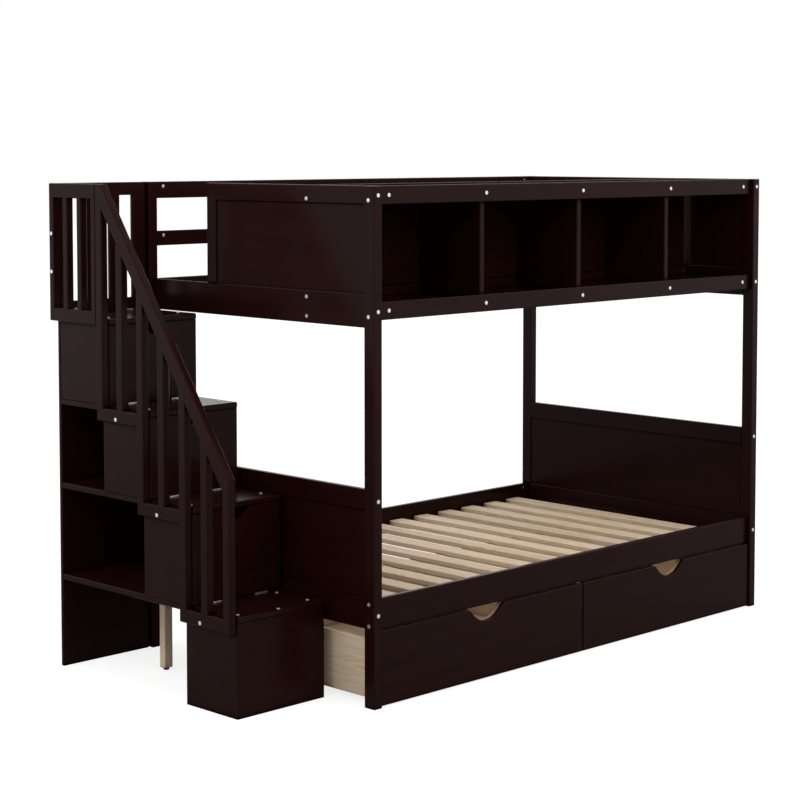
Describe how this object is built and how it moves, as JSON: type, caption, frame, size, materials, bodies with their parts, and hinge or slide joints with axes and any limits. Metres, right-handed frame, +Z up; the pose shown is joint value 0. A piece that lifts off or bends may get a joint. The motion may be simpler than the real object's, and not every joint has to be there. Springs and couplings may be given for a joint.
{
  "type": "bunk bed with stairs",
  "caption": "Bunk bed with a storage staircase, an open bookshelf along the upper bunk, wheeled underbed drawers and slatted decks.",
  "frame": {"origin": "centre of the overall footprint, at floor level", "axes": "+X along the bed away from the staircase, +Y from the drawers' side to the back, +Z up"},
  "size_m": [2.4094, 1.149, 1.619],
  "materials": {
    "espresso_wood": "dark brown satin lacquer",
    "pine": "bare light wood",
    "black_plastic": "matte",
    "plated_steel": "zinc-plated bolts, screws and hinges"
  },
  "bodies": {
    "bed": {"post_front_left": "espresso_wood", "post_front_right": "espresso_wood", "post_back_left": "espresso_wood", "post_back_right": "espresso_wood", "lower_front_rail": "espresso_wood", "lower_back_rail": "espresso_wood", "upper_back_rail": "espresso_wood", "guard_top_rail": "espresso_wood", "guard_middle_rail": "espresso_wood", "lower_left_rail": "espresso_wood", "lower_right_rail": "espresso_wood", "upper_left_rail": "espresso_wood", "upper_right_rail": "espresso_wood", "lower_left_end_board": "espresso_wood", "lower_right_end_board": "espresso_wood", "upper_left_end_board": "espresso_wood", "upper_right_end_board": "espresso_wood", "lower_slats": "pine", "upper_front_rail": "espresso_wood", "upper_slats": "pine", "shelf_top_rail": "espresso_wood", "shelf_bottom_rail": "espresso_wood", "shelf_floor": "espresso_wood", "shelf_top": "espresso_wood", "shelf_back": "espresso_wood", "shelf_divider_1": "espresso_wood", "shelf_divider_2": "espresso_wood", "shelf_divider_3": "espresso_wood", "step_box_1": "espresso_wood", "step_box_2": "espresso_wood", "step_box_3": "espresso_wood", "step_box_4": "espresso_wood", "stair_base_shelf": "espresso_wood", "stair_middle_shelf": "espresso_wood", "stair_upper_shelf": "espresso_wood", "stair_back_panel": "espresso_wood", "stair_side_panel": "espresso_wood", "stair_leg": "pine", "stair_foot": "black_plastic", "handrail": "espresso_wood", "outer_guard": "espresso_wood", "back_guard": "espresso_wood"},
    "drawer_left": {"drawer_left_front": "espresso_wood", "drawer_left_inner_front": "pine", "drawer_left_tray": "pine"},
    "drawer_left_wheel_front_left": {"drawer_left_wheel_front_left": "black_plastic"},
    "drawer_left_wheel_front_right": {"drawer_left_wheel_front_right": "black_plastic"},
    "drawer_left_wheel_back_left": {"drawer_left_wheel_back_left": "black_plastic"},
    "drawer_left_wheel_back_right": {"drawer_left_wheel_back_right": "black_plastic"},
    "drawer_right": {"drawer_right_front": "espresso_wood", "drawer_right_inner_front": "pine", "drawer_right_tray": "pine"},
    "drawer_right_wheel_front_left": {"drawer_right_wheel_front_left": "black_plastic"},
    "drawer_right_wheel_front_right": {"drawer_right_wheel_front_right": "black_plastic"},
    "drawer_right_wheel_back_left": {"drawer_right_wheel_back_left": "black_plastic"},
    "drawer_right_wheel_back_right": {"drawer_right_wheel_back_right": "black_plastic"},
    "step_lid_1": {"step_lid_1": "espresso_wood"},
    "step_lid_2": {"step_lid_2": "espresso_wood"},
    "step_lid_3": {"step_lid_3": "espresso_wood"},
    "step_lid_4": {"step_lid_4": "espresso_wood"}
  },
  "joints": [
    {"name": "drawer_left_slide", "type": "slide", "parent": "bed", "child": "drawer_left", "axis": [0, -1, 0], "range_m": [0, 0.65]},
    {"name": "drawer_left_wheel_front_left_spin", "type": "hinge", "parent": "drawer_left", "child": "drawer_left_wheel_front_left", "pos_m": [-0.71585, -0.4822, 0.0193], "axis": [1, 0, 0], "continuous": true},
    {"name": "drawer_left_wheel_front_right_spin", "type": "hinge", "parent": "drawer_left", "child": "drawer_left_wheel_front_right", "pos_m": [0.13165, -0.4822, 0.0193], "axis": [1, 0, 0], "continuous": true},
    {"name": "drawer_left_wheel_back_left_spin", "type": "hinge", "parent": "drawer_left", "child": "drawer_left_wheel_back_left", "pos_m": [-0.71585, 0.1178, 0.0193], "axis": [1, 0, 0], "continuous": true},
    {"name": "drawer_left_wheel_back_right_spin", "type": "hinge", "parent": "drawer_left", "child": "drawer_left_wheel_back_right", "pos_m": [0.13165, 0.1178, 0.0193], "axis": [1, 0, 0], "continuous": true},
    {"name": "drawer_right_slide", "type": "slide", "parent": "bed", "child": "drawer_right", "axis": [0, -1, 0], "range_m": [0, 0.65]},
    {"name": "drawer_right_wheel_front_left_spin", "type": "hinge", "parent": "drawer_right", "child": "drawer_right_wheel_front_left", "pos_m": [0.25865, -0.4822, 0.0193], "axis": [1, 0, 0], "continuous": true},
    {"name": "drawer_right_wheel_front_right_spin", "type": "hinge", "parent": "drawer_right", "child": "drawer_right_wheel_front_right", "pos_m": [1.10615, -0.4822, 0.0193], "axis": [1, 0, 0], "continuous": true},
    {"name": "drawer_right_wheel_back_left_spin", "type": "hinge", "parent": "drawer_right", "child": "drawer_right_wheel_back_left", "pos_m": [0.25865, 0.1178, 0.0193], "axis": [1, 0, 0], "continuous": true},
    {"name": "drawer_right_wheel_back_right_spin", "type": "hinge", "parent": "drawer_right", "child": "drawer_right_wheel_back_right", "pos_m": [1.10615, 0.1178, 0.0193], "axis": [1, 0, 0], "continuous": true},
    {"name": "step_lid_1_hinge", "type": "hinge", "parent": "bed", "child": "step_lid_1", "pos_m": [-0.99835, -0.1475, 0.317], "axis": [-1, 0, 0], "range_deg": [0, 85]},
    {"name": "step_lid_2_hinge", "type": "hinge", "parent": "bed", "child": "step_lid_2", "pos_m": [-0.99835, 0.0615, 0.625], "axis": [-1, 0, 0], "range_deg": [0, 85]},
    {"name": "step_lid_3_hinge", "type": "hinge", "parent": "bed", "child": "step_lid_3", "pos_m": [-0.99835, 0.2705, 0.906], "axis": [-1, 0, 0], "range_deg": [0, 85]},
    {"name": "step_lid_4_hinge", "type": "hinge", "parent": "bed", "child": "step_lid_4", "pos_m": [-0.99835, 0.5395, 1.186], "axis": [-1, 0, 0], "range_deg": [0, 85]}
  ],
  "couplings": [
    {"joint": "drawer_left_wheel_front_left_spin", "follows": "drawer_left_slide", "rad_per_m": 52.632},
    {"joint": "drawer_left_wheel_front_right_spin", "follows": "drawer_left_slide", "rad_per_m": 52.632},
    {"joint": "drawer_left_wheel_back_left_spin", "follows": "drawer_left_slide", "rad_per_m": 52.632},
    {"joint": "drawer_left_wheel_back_right_spin", "follows": "drawer_left_slide", "rad_per_m": 52.632},
    {"joint": "drawer_right_wheel_front_left_spin", "follows": "drawer_right_slide", "rad_per_m": 52.632},
    {"joint": "drawer_right_wheel_front_right_spin", "follows": "drawer_right_slide", "rad_per_m": 52.632},
    {"joint": "drawer_right_wheel_back_left_spin", "follows": "drawer_right_slide", "rad_per_m": 52.632},
    {"joint": "drawer_right_wheel_back_right_spin", "follows": "drawer_right_slide", "rad_per_m": 52.632}
  ]
}
